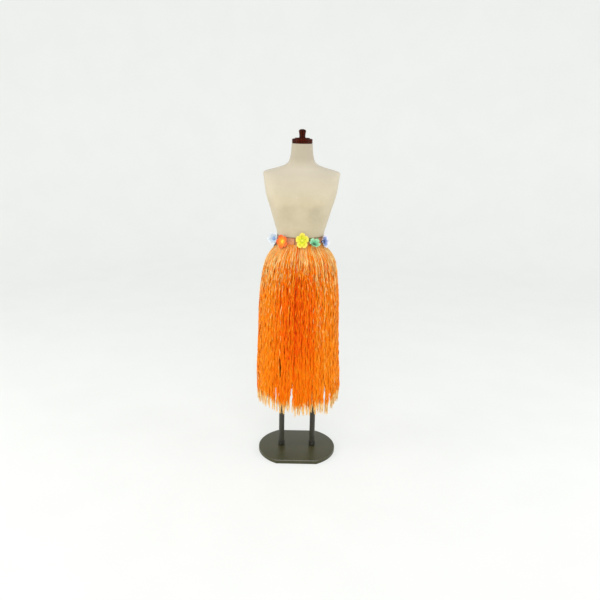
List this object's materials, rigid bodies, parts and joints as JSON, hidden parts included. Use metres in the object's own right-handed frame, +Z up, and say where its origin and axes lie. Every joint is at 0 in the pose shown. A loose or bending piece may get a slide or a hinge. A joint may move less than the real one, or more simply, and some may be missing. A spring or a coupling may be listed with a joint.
{
  "type": "grass skirt on a dress form",
  "caption": "Long fringed grass skirt with a gathered waistband trimmed with cloth flowers, worn on a limbless dress form that stands on posts and a flat base.",
  "frame": {"origin": "middle of the base plate's underside, on the floor", "axes": "+Z up along the form, -Y towards the front of the skirt, +X to the viewer's right when seen from the front"},
  "size_m": [0.4152, 0.3246, 1.5581],
  "materials": {
    "stand_paint": "satin dark olive-grey paint",
    "form_cloth": "plain-woven beige cover stretched over the form",
    "turned_wood": "turned, dark red-brown lacquer",
    "band_cloth": "gathered elastic, dull orange",
    "grass_film": "crinkled translucent orange film, split into strands",
    "petals_blue_left": "pressed synthetic petal cloth",
    "centre_blue_left": "dyed petal cloth",
    "petals_orange": "pressed synthetic petal cloth",
    "centre_orange": "dyed petal cloth",
    "petals_yellow": "pressed synthetic petal cloth",
    "centre_yellow": "dyed petal cloth",
    "petals_green": "pressed synthetic petal cloth",
    "centre_green": "dyed petal cloth",
    "petals_blue_right": "pressed synthetic petal cloth",
    "centre_blue_right": "dyed petal cloth",
    "leaf_cloth": "pressed synthetic leaf cloth"
  },
  "bodies": {
    "root": {"base_plate": "stand_paint", "post_left": "stand_paint", "post_right": "stand_paint", "post_collar_left": "stand_paint", "post_collar_right": "stand_paint", "collar_screw_left": "stand_paint", "collar_screw_right": "stand_paint", "form_torso": "form_cloth", "neck_cap": "turned_wood", "neck_knob": "turned_wood", "waistband": "band_cloth", "grass_outer_01": "grass_film", "grass_outer_02": "grass_film", "grass_outer_03": "grass_film", "grass_outer_04": "grass_film", "grass_outer_05": "grass_film", "grass_outer_06": "grass_film", "grass_outer_07": "grass_film", "grass_outer_08": "grass_film", "grass_outer_09": "grass_film", "grass_outer_10": "grass_film", "grass_outer_11": "grass_film", "grass_outer_12": "grass_film", "grass_inner_01": "grass_film", "grass_inner_02": "grass_film", "grass_inner_03": "grass_film", "grass_inner_04": "grass_film", "grass_inner_05": "grass_film", "grass_inner_06": "grass_film", "grass_inner_07": "grass_film", "grass_inner_08": "grass_film", "grass_inner_09": "grass_film", "grass_inner_10": "grass_film", "grass_inner_11": "grass_film", "grass_inner_12": "grass_film", "flower_blue_left": "petals_blue_left", "flower_blue_left_centre": "centre_blue_left", "flower_orange": "petals_orange", "flower_orange_centre": "centre_orange", "flower_yellow": "petals_yellow", "flower_yellow_centre": "centre_yellow", "flower_green": "petals_green", "flower_green_centre": "centre_green", "flower_blue_right": "petals_blue_right", "flower_blue_right_centre": "centre_blue_right", "leaf_left": "leaf_cloth", "leaf_middle": "leaf_cloth", "leaf_right": "leaf_cloth"}
  },
  "joints": []
}
